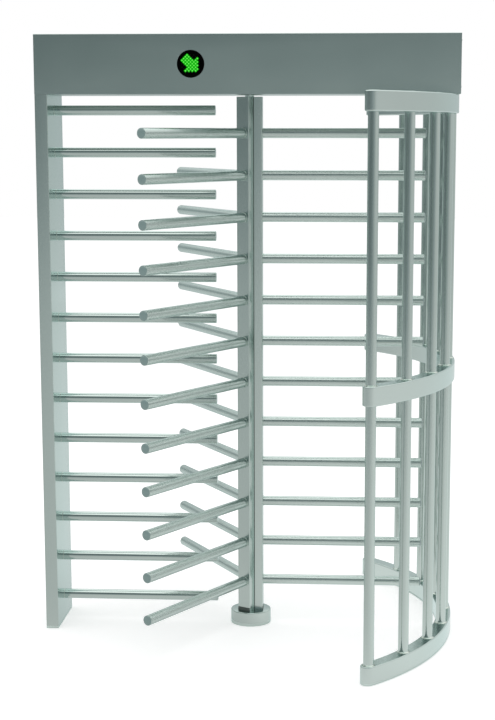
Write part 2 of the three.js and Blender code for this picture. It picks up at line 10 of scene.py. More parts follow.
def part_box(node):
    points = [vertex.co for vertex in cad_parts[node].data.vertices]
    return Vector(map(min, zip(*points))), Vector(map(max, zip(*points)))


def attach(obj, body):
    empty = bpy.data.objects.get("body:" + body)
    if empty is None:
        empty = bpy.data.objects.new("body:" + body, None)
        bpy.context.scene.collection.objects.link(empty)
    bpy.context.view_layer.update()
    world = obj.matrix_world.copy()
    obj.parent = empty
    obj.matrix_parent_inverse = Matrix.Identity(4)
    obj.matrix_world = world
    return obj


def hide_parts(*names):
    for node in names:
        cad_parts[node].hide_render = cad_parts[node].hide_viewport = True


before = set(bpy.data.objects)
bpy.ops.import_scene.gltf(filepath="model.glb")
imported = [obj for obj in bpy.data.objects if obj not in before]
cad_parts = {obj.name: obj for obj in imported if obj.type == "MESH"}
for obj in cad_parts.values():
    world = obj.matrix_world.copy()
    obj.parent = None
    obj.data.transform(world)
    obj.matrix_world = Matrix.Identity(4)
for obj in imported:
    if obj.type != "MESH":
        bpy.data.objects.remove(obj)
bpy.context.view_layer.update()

MM = 0.001
FULL_TURN = 2 * math.pi
QUARTER_TURN = math.pi / 2

# Smoothness of the round pieces
TUBE_SEGMENTS = 48
LARGE_SEGMENTS = 96
HOLE_SEGMENTS = 64
LOCK_SEGMENTS = 40
SCREW_SEGMENTS = 24
DIODE_SEGMENTS = 12
CORNER_STEPS = 6
RIM_STEPS = 5
EDGE_STEPS = 4
SHARP_ANGLE = math.radians(32)
BEVEL_ANGLE = math.radians(50)
BEVEL_SEGMENTS = 3

# Tubes of the arms, the comb and the cage
TUBE_RADIUS = 19 * MM
TUBE_WALL = 2 * MM
TUBE_TIP_ROUND = 2.5 * MM

# Rotor
WING_COUNT = 3
ARM_COUNT = 12
ARM_PITCH = 160 * MM
TOP_ARM_HEIGHT = 1935 * MM
ARM_REACH = 676 * MM
ARM_END_ROUND = 0.8 * MM
CAP_RADIUS = 18 * MM
CAP_HEIGHT = 5 * MM
WEB_DISTANCE = 49.6 * MM
WEB_WIDTH = 56.6 * MM
CHANNEL_SHEET = 2 * MM
CHANNEL_BEND = 4 * MM
CHANNEL_SEAM = 2.8 * MM

# Post, comb and head
SHEET = 2 * MM
SHEET_BEND = 2.4 * MM
END_PLATE_GROOVE = 0.6 * MM
END_PLATE_EDGE = 0.4 * MM
HOLE_REACH = 100 * MM  # of the tool that cuts a hole, on both sides of the sheet

# Cage
CAGE_CENTRE_X = -252 * MM
CAGE_RADIUS = 1020 * MM
CAGE_TUBE_COUNT = 9
CAGE_TUBE_STEP = math.radians(11.19)
CAGE_HALF_ANGLE = CAGE_TUBE_STEP * (CAGE_TUBE_COUNT - 1) / 2
BAND_WIDTH = 54 * MM
BAND_EDGE = 4.5 * MM
BAND_OVERHANG = 4 * MM  # along the arc, past the end tubes
BAND_STEPS = 96
BAND_END_STEPS = 20
COLLAR_WIDTH = 5 * MM
COLLAR_HEIGHT = 4 * MM
COLLAR_LIP = 0.7 * MM
CAGE_TUBE_PROUD = 0.8 * MM  # above the top band, outside the head

# Welds
WELD_SIZE = 1.1 * MM
WELD_RIPPLE = 0.12 * MM
WELD_RIPPLES = 34
WELD_SEGMENTS = 136
WELD_ROWS = 5  # of points across the bead

# Indicators
INDICATOR_RIM = 51 * MM
INDICATOR_BODY = 44 * MM
INDICATOR_PANE = 40.7 * MM
RIM_ROUND = 2 * MM
RIM_THICKNESS = 6 * MM
BORE_GAP = 0.3 * MM  # around the pane
BORE_BEVEL = 0.8 * MM
BORE_DEPTH = 8 * MM
PANE_DEPTH = 2.2 * MM  # behind the rim's face
PANE_THICKNESS = 3 * MM
PANE_EDGE = 1 * MM  # that the diodes keep clear of
LED_PITCH = 9 * MM
LED_RADIUS = 2.7 * MM
LED_DOME = 1.4 * MM
LED_DOME_SHARES = ((1, 0), (0.8, 0.6), (0.4, 0.92), (0, 1))  # of the radius and of the dome
LED_ROWS = 10
TILE_THICKNESS = 0.3 * MM
TILE_CORNER = 1 * MM
ARROW_SHAFT_ROWS = 4
ARROW_SHAFT_WIDTH = 4
ARROW_HEAD_WIDTH = 8

# Foot of the rotor
CUP_ROUND = 4 * MM
CUP_WALL = 3 * MM
CUP_HOLE = 34 * MM
FOOT_GAP = 0.4 * MM
FOOT_INSET = 0.8 * MM  # from the channels' outer faces
FOOT_CHEEK = 1.2 * MM
FOOT_BLOCK = 8 * MM  # radially

# Fasteners
SCREW_RADIUS = 5 * MM
SCREW_HEIGHT = 2.6 * MM
SCREW_INSET = 26 * MM
SCREW_DOME_SHARE = 0.9  # of a quarter turn
SOCKET_SHARE = 0.42  # of the screw's radius
SOCKET_EDGE_SHARE = 0.35  # of the screw's height, at the socket's foot
SOCKET_MIDDLE_SHARE = 0.3  # of the screw's height, in the middle
LOCK_RADIUS = 9 * MM
LOCK_PROUD = 3 * MM
LOCK_ROUND = 1.2 * MM
LOCK_CORE_SHARE = 0.62  # of the lock's radius
LOCK_FLOOR_SHARE = 0.7  # of the lock's height
LOCK_SLOT_SHARE = 0.8  # of the lock's height
LOCK_SLOT_WIDTH = 1.6 * MM
LOCK_SLOT_LENGTH = 7.2 * MM
LOCK_SLOT_CORNER = 0.4 * MM
LOCK_SHARE = 0.3  # of the head's length, from its middle to each lock
LOCK_HEIGHT_SHARE = 0.2  # of the head's height


# Meshes as (vertices, faces)


def lathe(profile, segments, closed=False):
    """A turned shape around Z, from (radius, height) points; closed joins the last one to the first."""
    vertices = []
    rings = []
    for radius, height in profile:
        if radius <= 0:
            rings.append([len(vertices)] * segments)
            vertices.append((0, 0, height))
            continue
        start = len(vertices)
        for step in range(segments):
            angle = FULL_TURN * step / segments
            vertices.append((radius * math.cos(angle), radius * math.sin(angle), height))
        rings.append(list(range(start, start + segments)))
    pairs = list(zip(rings, rings[1:]))
    if closed:
        pairs.append((rings[-1], rings[0]))
    faces = []
    for low, high in pairs:
        for step in range(segments):
            after = (step + 1) % segments
            corners = [low[step], low[after], high[after], high[step]]
            face = list(dict.fromkeys(corners))
            if len(face) > 2:
                faces.append(face)
    return vertices, faces


def prism(outline, z0, z1):
    """An outline of (x, y) points pushed up from z0 to z1."""
    count = len(outline)
    vertices = [(x, y, z0) for x, y in outline] + [(x, y, z1) for x, y in outline]
    sides = [[i, (i + 1) % count, (i + 1) % count + count, i + count] for i in range(count)]
    bottom = list(reversed(range(count)))
    top = list(range(count, 2 * count))
    return vertices, [bottom, top, *sides]


def walled_prism(outer, inner, z0, z1):
    """The wall between two outlines with the same number of points, from z0 to z1."""
    count = len(outer)
    loops = [(outer, z0), (outer, z1), (inner, z1), (inner, z0)]
    vertices = [(x, y, z) for outline, z in loops for x, y in outline]
    faces = []
    for loop in range(len(loops)):
        low = loop * count
        high = ((loop + 1) % len(loops)) * count
        for i in range(count):
            after = (i + 1) % count
            faces.append([low + i, low + after, high + after, high + i])
    return vertices, faces


def moved(shape, matrix):
    vertices, faces = shape
    return [tuple(matrix @ Vector(v)) for v in vertices], faces


def merged(shapes):
    vertices = []
    faces = []
    for more_vertices, more_faces in shapes:
        offset = len(vertices)
        vertices.extend(more_vertices)
        faces.extend([offset + i for i in face] for face in more_faces)
    return vertices, faces


def rounded_outline(corners, steps=CORNER_STEPS):
    """An outline from (x, y, radius) corners, each rounded off by an arc of its radius."""
    points = []
    count = len(corners)
    for index, (x, y, radius) in enumerate(corners):
        here = Vector((x, y))
        before = Vector(corners[index - 1][:2])
        after = Vector(corners[(index + 1) % count][:2])
        if radius <= 0:
            points.append((x, y))
            continue
        back = (before - here).normalized()
        forth = (after - here).normalized()
        half = back.angle(forth) / 2
        centre = here + (back + forth).normalized() * radius / math.sin(half)
        first = here + back * radius / math.tan(half) - centre
        last = here + forth * radius / math.tan(half) - centre
        start = math.atan2(first.y, first.x)
        sweep = math.atan2(last.y, last.x) - start
        if sweep > math.pi:
            sweep -= FULL_TURN
        if sweep < -math.pi:
            sweep += FULL_TURN
        for step in range(steps + 1):
            angle = start + sweep * step / steps
            points.append((centre.x + radius * math.cos(angle), centre.y + radius * math.sin(angle)))
    return points


def rectangle(x0, x1, y0, y1, radius):
    return rounded_outline([(x0, y0, radius), (x1, y0, radius), (x1, y1, radius), (x0, y1, radius)])


def arc(centre, radius, start, sweep, steps):
    points = []
    for step in range(steps + 1):
        angle = start + sweep * step / steps
        points.append((centre[0] + radius * math.cos(angle), centre[1] + radius * math.sin(angle)))
    return points


def closed_tube(radius, length, tip_round):
    """A round bar from z = 0 to length whose far end is closed, with a rounded edge."""
    edge = arc((radius - tip_round, length - tip_round), tip_round, 0, QUARTER_TURN, EDGE_STEPS)
    return lathe([(0, 0), (radius, 0), *edge, (0, length)], TUBE_SEGMENTS)


def weld_ring(radius):
    """A fillet weld around a tube of this radius that stands on the plane z = 0, with its ripples."""
    vertices = []
    faces = []
    for segment in range(WELD_SEGMENTS):
        angle = FULL_TURN * segment / WELD_SEGMENTS
        reach = WELD_SIZE + WELD_RIPPLE * math.cos(angle * WELD_RIPPLES)
        for row in range(WELD_ROWS):
            turn = QUARTER_TURN * row / (WELD_ROWS - 1)
            out = radius + reach * math.cos(turn)
            vertices.append((out * math.cos(angle), out * math.sin(angle), reach * math.sin(turn)))
    for segment in range(WELD_SEGMENTS):
        after = (segment + 1) % WELD_SEGMENTS
        for row in range(WELD_ROWS - 1):
            low = segment * WELD_ROWS + row
            high = after * WELD_ROWS + row
            faces.append([low, high, high + 1, low + 1])
    return vertices, faces


def along_x(shape):
    """Turns a shape that was made along Z to lie along X."""
    return moved(shape, Matrix.Rotation(QUARTER_TURN, 4, "Y"))


# Materials

NODE_SPACING = 200
EDGE_TINT = (0.86, 0.95, 0.95, 1)  # of the reflections at flat angles
LINE_DETAIL = 4
LINE_CONTRAST = 0.65
CLOUD_SCALE = 5
CLOUD_DETAIL = 3
LINES_AND_CLOUDS = (0.7, 1.3)  # where most of their sum lies
NOISE_RANGE = (0.3, 0.7)  # where most of one noise lies
METAL_BUMP = 0.01
METAL_RELIEF = 0.2 * MM
METAL_SMUDGE = 0.05  # share that the clouds darken
METAL_SPREAD = 0.025  # of the roughness, to each side
BEAD_SCALE = 220
BEAD_DETAIL = 5
BEAD_TINT = (0.98, 0.92, 0.86)  # of the heat marks
BEAD_ROUGHNESS = (0.2, 0.36)
BEAD_BUMP = 0.3
BEAD_RELIEF = 0.3 * MM
PLASTIC_SCALE = 900
PLASTIC_DETAIL = 4
PLASTIC_LIGHT = 1.15  # of the lightest grains
PLASTIC_SPREAD = 0.06
PLASTIC_BUMP = 0.15
PLASTIC_RELIEF = 0.2 * MM
GLOW_SCALE = 260
GLOW_DETAIL = 2
DIODE_COLOUR = (0.004, 0.03, 0.004, 1)
DIODE_STRENGTH = 1
DIODE_GLOSS = 0.05
DIODE_ROUGHNESS = 0.3


def node(tree, kind, **values):
    """A new node, with values for its sockets or settings."""
    made = tree.nodes.new(kind)
    made.location = (NODE_SPACING * len(tree.nodes), 0)
    for name, value in values.items():
        if name in made.inputs:
            made.inputs[name].default_value = value
        else:
            setattr(made, name, value)
    return made


def new_material(name):
    material = bpy.data.materials.new(name)
    material.use_nodes = True
    tree = material.node_tree
    shader = tree.nodes["Principled BSDF"]
    return material, tree, shader


def noise(tree, scale, detail, **values):
    """Noise with this scale along the object's X, Y and Z."""
    coordinates = node(tree, "ShaderNodeTexCoord")
    mapping = node(tree, "ShaderNodeMapping", Scale=scale)
    tree.links.new(coordinates.outputs["Object"], mapping.inputs["Vector"])
    made = node(tree, "ShaderNodeTexNoise", Scale=1, Detail=detail, **values)
    tree.links.new(mapping.outputs["Vector"], made.inputs["Vector"])
    return made.outputs["Fac"]


def map_range(tree, value, low, high, from_low=0, from_high=1):
    made = node(tree, "ShaderNodeMapRange")
    made.inputs["From Min"].default_value = from_low
    made.inputs["From Max"].default_value = from_high
    made.inputs["To Min"].default_value = low
    made.inputs["To Max"].default_value = high
    tree.links.new(value, made.inputs["Value"])
    return made.outputs["Result"]


def colour_between(tree, factor, low, high):
    made = node(tree, "ShaderNodeMix", data_type="RGBA")
    for socket in made.inputs:
        if socket.type == "RGBA" and socket.name == "A":
            socket.default_value = (*low, 1)
        if socket.type == "RGBA" and socket.name == "B":
            socket.default_value = (*high, 1)
    tree.links.new(factor, made.inputs["Factor"])
    return [output for output in made.outputs if output.type == "RGBA"][0]


def add_relief(tree, shader, height, strength, depth):
    relief = node(tree, "ShaderNodeBump", Strength=strength, Distance=depth)
    tree.links.new(height, relief.inputs["Height"])
    tree.links.new(relief.outputs["Normal"], shader.inputs["Normal"])


def brushed_metal(name, colour, roughness, grain, metallic=1, bump=METAL_BUMP, smudge=METAL_SMUDGE):
    """Metal with fine brush lines: grain is the noise's scale along X, Y and Z, small along the lines."""
    material, tree, shader = new_material(name)
    lines = noise(tree, grain, LINE_DETAIL, Roughness=LINE_CONTRAST)
    clouds = noise(tree, (CLOUD_SCALE, CLOUD_SCALE, CLOUD_SCALE), CLOUD_DETAIL)
    dim = tuple(channel * (1 - smudge) for channel in colour)
    tint = colour_between(tree, clouds, dim, colour)
    tree.links.new(tint, shader.inputs["Base Color"])
    blend = node(tree, "ShaderNodeMath", operation="ADD")
    tree.links.new(lines, blend.inputs[0])
    tree.links.new(clouds, blend.inputs[1])
    smooth = roughness - METAL_SPREAD
    coarse = roughness + METAL_SPREAD
    rough = map_range(tree, blend.outputs[0], smooth, coarse, *LINES_AND_CLOUDS)
    tree.links.new(rough, shader.inputs["Roughness"])
    add_relief(tree, shader, lines, bump, METAL_RELIEF)
    shader.inputs["Metallic"].default_value = metallic
    shader.inputs["Specular Tint"].default_value = EDGE_TINT
    return material


def weld_metal(name, colour):
    """Weld metal: coarser and a little uneven, with faint heat tint."""
    material, tree, shader = new_material(name)
    spots = noise(tree, (BEAD_SCALE, BEAD_SCALE, BEAD_SCALE), BEAD_DETAIL)
    warm = tuple(channel * share for channel, share in zip(colour, BEAD_TINT))
    tint = colour_between(tree, spots, warm, colour)
    tree.links.new(tint, shader.inputs["Base Color"])
    rough = map_range(tree, spots, *BEAD_ROUGHNESS, *NOISE_RANGE)
    tree.links.new(rough, shader.inputs["Roughness"])
    add_relief(tree, shader, spots, BEAD_BUMP, BEAD_RELIEF)
    shader.inputs["Metallic"].default_value = 1
    return material


def moulded_plastic(name, colour, roughness, gloss):
    """Plastic or glass with a fine grain, also the dark foot blocks that are painted shade; gloss is the
    level of its reflections.
    """
    material, tree, shader = new_material(name)
    shader.inputs["Specular IOR Level"].default_value = gloss
    grain = noise(tree, (PLASTIC_SCALE, PLASTIC_SCALE, PLASTIC_SCALE), PLASTIC_DETAIL)
    light = tuple(channel * PLASTIC_LIGHT for channel in colour)
    tint = colour_between(tree, grain, colour, light)
    tree.links.new(tint, shader.inputs["Base Color"])
    smooth = roughness - PLASTIC_SPREAD
    coarse = roughness + PLASTIC_SPREAD
    rough = map_range(tree, grain, smooth, coarse, *NOISE_RANGE)
    tree.links.new(rough, shader.inputs["Roughness"])
    add_relief(tree, shader, grain, PLASTIC_BUMP, PLASTIC_RELIEF)
    return material


def light_spots(name, colour, edge_colour):
    """The lit face of a diode, with a slightly uneven glow."""
    material, tree, shader = new_material(name)
    glow = noise(tree, (GLOW_SCALE, GLOW_SCALE, GLOW_SCALE), GLOW_DETAIL)
    tint = colour_between(tree, glow, edge_colour, colour)
    tree.links.new(tint, shader.inputs["Emission Color"])
    shader.inputs["Emission Strength"].default_value = DIODE_STRENGTH
    shader.inputs["Base Color"].default_value = DIODE_COLOUR
    shader.inputs["Specular IOR Level"].default_value = DIODE_GLOSS
    shader.inputs["Roughness"].default_value = DIODE_ROUGHNESS
    return material


STEEL = (0.546, 0.631, 0.597)
BAND_STEEL = (0.575, 0.66, 0.628)
TRAY_SHADE_SHARE = 0.78  # of the steel's colour, lowered as painted shade, as the tray lies in the head's shade
SHADED_TRAY_STEEL = tuple(TRAY_SHADE_SHARE * channel for channel in STEEL)
ZINC = (0.6, 0.64, 0.61)
MACHINED_STEEL = (0.62, 0.66, 0.64)
# Lighter than plain steel, so that the shaft's stub in the shaded gap under the head reads light: painted
# light.
LIGHTENED_SHAFT_STEEL = (0.84, 0.9, 0.87)
BLACK_OXIDE = (0.045, 0.045, 0.05)
BRONZE = (0.71, 0.53, 0.27)
GREY_ENAMEL = (0.2, 0.22, 0.23)
BLACK = (0.0008, 0.0008, 0.0008)
PLUG_GREY = (0.212, 0.302, 0.292)
# Dark grey of the blocks under the column: painted shade of the gap there.
FOOT_SHADE_GREY = (0.1, 0.12, 0.113)
PANE_BLACK = (0.0004, 0.0008, 0.0004)
DIODE_BLACK = (0.002, 0.004, 0.002)
DIODE_GREENS = ((0.2, 0.9, 0.13), (0.12, 0.8, 0.08))
GLOW_GREENS = ((0, 0.5, 0), (0, 0.38, 0))

# Scales of the brush lines along X, Y and Z
FINE = 900  # across the lines, to the metre
LONG = 0.3  # along them
TURNED = 90
UPRIGHT_LINES = (FINE, FINE, LONG)
LEVEL_LINES = (LONG, FINE, FINE)
ROUND_LINES = (LONG, LONG, FINE)
TURNED_LINES = (TURNED, TURNED, FINE)
ZINC_SPOTS = (40, 40, 40)
OXIDE_SPOTS = (140, 140, 140)
ENAMEL_SPOTS = (160, 160, 160)

materials = {
    "upright": brushed_metal("satin_steel_upright", STEEL, roughness=0.2, grain=UPRIGHT_LINES),
    "level": brushed_metal("satin_steel_level", STEEL, roughness=0.27, grain=LEVEL_LINES),
    "comb": brushed_metal("satin_steel_comb", STEEL, roughness=0.1, grain=LEVEL_LINES),
    "around": brushed_metal("satin_steel_around", BAND_STEEL, roughness=0.2, grain=ROUND_LINES),
    "head": brushed_metal("satin_steel_head", STEEL, roughness=0.22, grain=LEVEL_LINES),
    # The tray's steel is a darkened copy of the steel: painted shade under the head.
    "tray": brushed_metal("satin_steel_tray_painted_shade", SHADED_TRAY_STEEL, roughness=0.3, grain=LEVEL_LINES),
    "cup": brushed_metal("polished_steel_cup", STEEL, roughness=0.1, grain=ROUND_LINES, bump=0.05),
    "weld": weld_metal("weld_steel", STEEL),
    "zinc": brushed_metal("zinc_sheet", ZINC, roughness=0.38, grain=ZINC_SPOTS, bump=0.05, smudge=0.12),
    "machined": brushed_metal("machined_steel", MACHINED_STEEL, roughness=0.32, grain=TURNED_LINES),
    # The ground steel is lightened past the steel's own colour: painted light on the shaft in the shaded
    # gap.
    "ground": brushed_metal("ground_steel_painted_light", LIGHTENED_SHAFT_STEEL, roughness=0.2, grain=TURNED_LINES),
    "oxide": brushed_metal(
        "black_oxide_steel", BLACK_OXIDE, roughness=0.42, grain=OXIDE_SPOTS, metallic=0.6
    ),
    "bronze": brushed_metal("turned_bronze", BRONZE, roughness=0.28, grain=ROUND_LINES),
    "enamel": brushed_metal("grey_enamel", GREY_ENAMEL, roughness=0.5, grain=ENAMEL_SPOTS, metallic=0),
    "plastic": moulded_plastic("black_plastic", BLACK, roughness=0.5, gloss=0.01),
    "cap": moulded_plastic("blue_grey_plug", PLUG_GREY, roughness=0.24, gloss=0.6),
    # Dark blocks under the column that stand for the shade in the gap there: painted shade.
    "painted_foot_shade": moulded_plastic("foot_block_painted_shade", FOOT_SHADE_GREY, roughness=0.6, gloss=0.1),
    "pane": moulded_plastic("display_pane_glass", PANE_BLACK, roughness=0.3, gloss=0.01),
    "led_lit": light_spots("diode_lit", *DIODE_GREENS),
    "led_glow": light_spots("diode_glow", *GLOW_GREENS),
    "led_off": moulded_plastic("diode_off", DIODE_BLACK, roughness=0.4, gloss=0.1),
}


# Pieces


def add_piece(name, shape, finish, body, replaces=(), edge=0.0, matrix=None):
    """A mesh piece with one of the finishes, which rides on a body and may stand for CAD nodes."""
    mesh = bpy.data.meshes.new(name)
    mesh.from_pydata(*shape_lists(shape))
    built = bmesh.new()
    built.from_mesh(mesh)
    bmesh.ops.recalc_face_normals(built, faces=built.faces)
    built.to_mesh(mesh)
    built.free()
    mesh.shade_smooth()
    mesh.set_sharp_from_angle(angle=SHARP_ANGLE)
    mesh.materials.append(materials[finish])
    piece = bpy.data.objects.new(name, mesh)
    bpy.context.scene.collection.objects.link(piece)
    if edge > 0:
        bevel = piece.modifiers.new("edges", "BEVEL")
        bevel.width = edge
        bevel.segments = BEVEL_SEGMENTS
        bevel.limit_method = "ANGLE"
        bevel.angle_limit = BEVEL_ANGLE
        bevel.harden_normals = True
    if matrix is not None:
        piece.matrix_world = matrix
    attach(piece, body)
    if replaces:
        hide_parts(*replaces)
    return piece


def shape_lists(shape):
    vertices, faces = shape
    return [tuple(v) for v in vertices], [], [list(f) for f in faces]


def cut(piece, shape):
    """Takes a shape out of a piece for good."""
    mesh = bpy.data.meshes.new("cutter")
    mesh.from_pydata(*shape_lists(shape))
    cutter = bpy.data.objects.new("cutter", mesh)
    bpy.context.scene.collection.objects.link(cutter)
    modifier = piece.modifiers.new("holes", "BOOLEAN")
    modifier.operation = "DIFFERENCE"
    modifier.solver = "EXACT"
    modifier.object = cutter
    bpy.context.view_layer.update()
    graph = bpy.context.evaluated_depsgraph_get()
    result = bpy.data.meshes.new_from_object(piece.evaluated_get(graph))
    piece.modifiers.clear()
    piece.data = result
    bpy.data.objects.remove(cutter)


# Rotor


def arm_heights():
    return [TOP_ARM_HEIGHT - row * ARM_PITCH for row in range(ARM_COUNT)]


def channel_outline():
    """The section of one wing's channel, with the flanges' ends at the seam to the next one."""
    wing_angle = FULL_TURN / WING_COUNT
    half = WEB_WIDTH / 2
    seam = (CHANNEL_SEAM / 2 + half * math.cos(wing_angle / 2)) / math.sin(wing_angle / 2)
    inside = half - CHANNEL_SHEET
    outer = WEB_DISTANCE
    inner = WEB_DISTANCE - CHANNEL_SHEET
    inner_bend = CHANNEL_BEND - CHANNEL_SHEET
    return rounded_outline([
        (seam, -half, 0),
        (outer, -half, CHANNEL_BEND),
        (outer, half, CHANNEL_BEND),
        (seam, half, 0),
        (seam, inside, 0),
        (inner, inside, inner_bend),
        (inner, -inside, inner_bend),
        (seam, -inside, 0),
    ])


def end_cap():
    """The plug in an arm's end: a low dome that stands on z = 0."""
    dome = []
    for step in range(CORNER_STEPS + 1):
        angle = QUARTER_TURN * step / CORNER_STEPS
        dome.append((CAP_RADIUS * math.cos(angle), CAP_HEIGHT * math.sin(angle)))
    return lathe([(0, 0), *dome[:-1], (0, CAP_HEIGHT)], TUBE_SEGMENTS)


def build_wing(side, index):
    turn = Matrix.Rotation(FULL_TURN * index / WING_COUNT, 4, "Z")
    low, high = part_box("rotor_wing_right")
    channel = prism(channel_outline(), low.z, high.z)
    add_piece(f"column_channel_{side}", channel, "upright", "rotor", [f"rotor_wing_{side}"], matrix=turn)
    start = WEB_DISTANCE - TUBE_WALL
    arm = along_x(closed_tube(TUBE_RADIUS, ARM_REACH - CAP_HEIGHT - start, ARM_END_ROUND))
    weld = along_x(weld_ring(TUBE_RADIUS))
    for row, height in enumerate(arm_heights(), start=1):
        place = turn @ Matrix.Translation((start, 0, height))
        add_piece(f"arm_{side}_{row:02d}", arm, "level", "rotor", matrix=place)
    welds = merged([
        moved(weld, Matrix.Translation((WEB_DISTANCE, 0, height))) for height in arm_heights()
    ])
    add_piece(f"arm_welds_{side}", welds, "weld", "rotor", matrix=turn)
    cap = along_x(end_cap())
    caps = merged([
        moved(cap, Matrix.Translation((ARM_REACH - CAP_HEIGHT, 0, height))) for height in arm_heights()
    ])
    add_piece(f"arm_caps_{side}", caps, "cap", "rotor", matrix=turn)


for wing_index, wing_side in enumerate(("right", "rear", "front")):
    build_wing(wing_side, wing_index)


# Post and comb


def build_post():
    low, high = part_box("post_box")
    outer = rectangle(low.x, high.x, low.y, high.y, SHEET_BEND)
    inner = rectangle(
        low.x + SHEET, high.x - SHEET, low.y + SHEET, high.y - SHEET, SHEET_BEND - SHEET
    )
    wall = walled_prism(outer, inner, low.z, high.z)
    top = prism(inner, high.z - SHEET, high.z)
    add_piece("post_sheet", merged([wall, top]), "upright", "frame", ["post_box"])


def build_comb():
    weld = along_x(weld_ring(TUBE_RADIUS))
    post_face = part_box("post_box")[1].x
    welds = []
    for name in sorted(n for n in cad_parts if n.startswith("comb_tube_")):
        low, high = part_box(name)
        middle = (low.z + high.z) / 2
        shape = along_x(closed_tube(TUBE_RADIUS, high.x - low.x, TUBE_TIP_ROUND))
        place = Matrix.Translation((low.x, 0, middle))
        number = name[-2:]
        add_piece(f"comb_bar_{number}", shape, "comb", "frame", [name], matrix=place)
        welds.append(moved(weld, Matrix.Translation((post_face, 0, middle))))
    add_piece("comb_welds", merged(welds), "weld", "frame")


build_post()
build_comb()


# Cage


def band_outline():
    reach = BAND_WIDTH / 2
    half = CAGE_HALF_ANGLE + BAND_OVERHANG / CAGE_RADIUS
    centre = (CAGE_CENTRE_X, 0)
    end_x = CAGE_CENTRE_X + CAGE_RADIUS * math.cos(half)
    end_y = CAGE_RADIUS * math.sin(half)
    outer = arc(centre, CAGE_RADIUS + reach, -half, 2 * half, BAND_STEPS)
    far = arc((end_x, end_y), reach, half, math.pi, BAND_END_STEPS)
    inner = arc(centre, CAGE_RADIUS - reach, half, -2 * half, BAND_STEPS)
    near = arc((end_x, -end_y), reach, math.pi - half, math.pi, BAND_END_STEPS)
    return [*outer, *far[1:-1], *inner, *near[1:-1]]


def collar(radius):
    """A sloping ring on the band around a cage tube."""
    slope = [
        (radius + COLLAR_WIDTH, 0),
        (radius + COLLAR_WIDTH, COLLAR_LIP),
        (radius + COLLAR_LIP, COLLAR_HEIGHT - COLLAR_LIP / 2),
        (radius, COLLAR_HEIGHT),
    ]
    return lathe([*slope, (radius, 0)], TUBE_SEGMENTS, closed=True)


def build_cage():
    tubes = {}
    for name in sorted(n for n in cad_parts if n.startswith("cage_tube_")):
        low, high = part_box(name)
        tubes[name] = ((low.x + high.x) / 2, (low.y + high.y) / 2, low.z, high.z)
    head_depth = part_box("head_cover")[1].y
    for name, (x, y, bottom, top) in tubes.items():
        proud = CAGE_TUBE_PROUD if abs(y) > head_depth + TUBE_RADIUS else 0
        shape = closed_tube(TUBE_RADIUS, top + proud - bottom, CAGE_TUBE_PROUD)
        place = Matrix.Translation((x, y, bottom))
        add_piece(f"cage_bar_{name[-1]}", shape, "upright", "frame", [name], matrix=place)
    outline = band_outline()
    for level in ("bottom", "middle", "top"):
        low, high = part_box(f"cage_band_{level}")
        shape = prism(outline, low.z, high.z)
        add_piece(
            f"cage_ring_{level}", shape, "around", "frame", [f"cage_band_{level}"], edge=BAND_EDGE
        )
        if level != "top":
            collars = [
                moved(collar(TUBE_RADIUS), Matrix.Translation((x, y, high.z)))
                for x, y, bottom, top in tubes.values()
            ]
            add_piece(f"cage_collars_{level}", merged(collars), "weld", "frame")


build_cage()


# Head


def screw(radius, height):
    """A button-head screw with a round socket, standing on z = 0."""
    dome = arc((radius - height, 0), height, 0, QUARTER_TURN * SCREW_DOME_SHARE, RIM_STEPS)
    socket = [
        (radius * SOCKET_SHARE, height),
        (radius * SOCKET_SHARE, height * SOCKET_EDGE_SHARE),
        (0, height * SOCKET_MIDDLE_SHARE),
    ]
    return lathe([*dome, *socket], SCREW_SEGMENTS)


def place_on(point, direction):
    """The matrix that stands a Z-up shape on a point, facing a direction."""
    turn = Vector(direction).to_track_quat("Z", "Y").to_matrix().to_4x4()
    return Matrix.Translation(point) @ turn


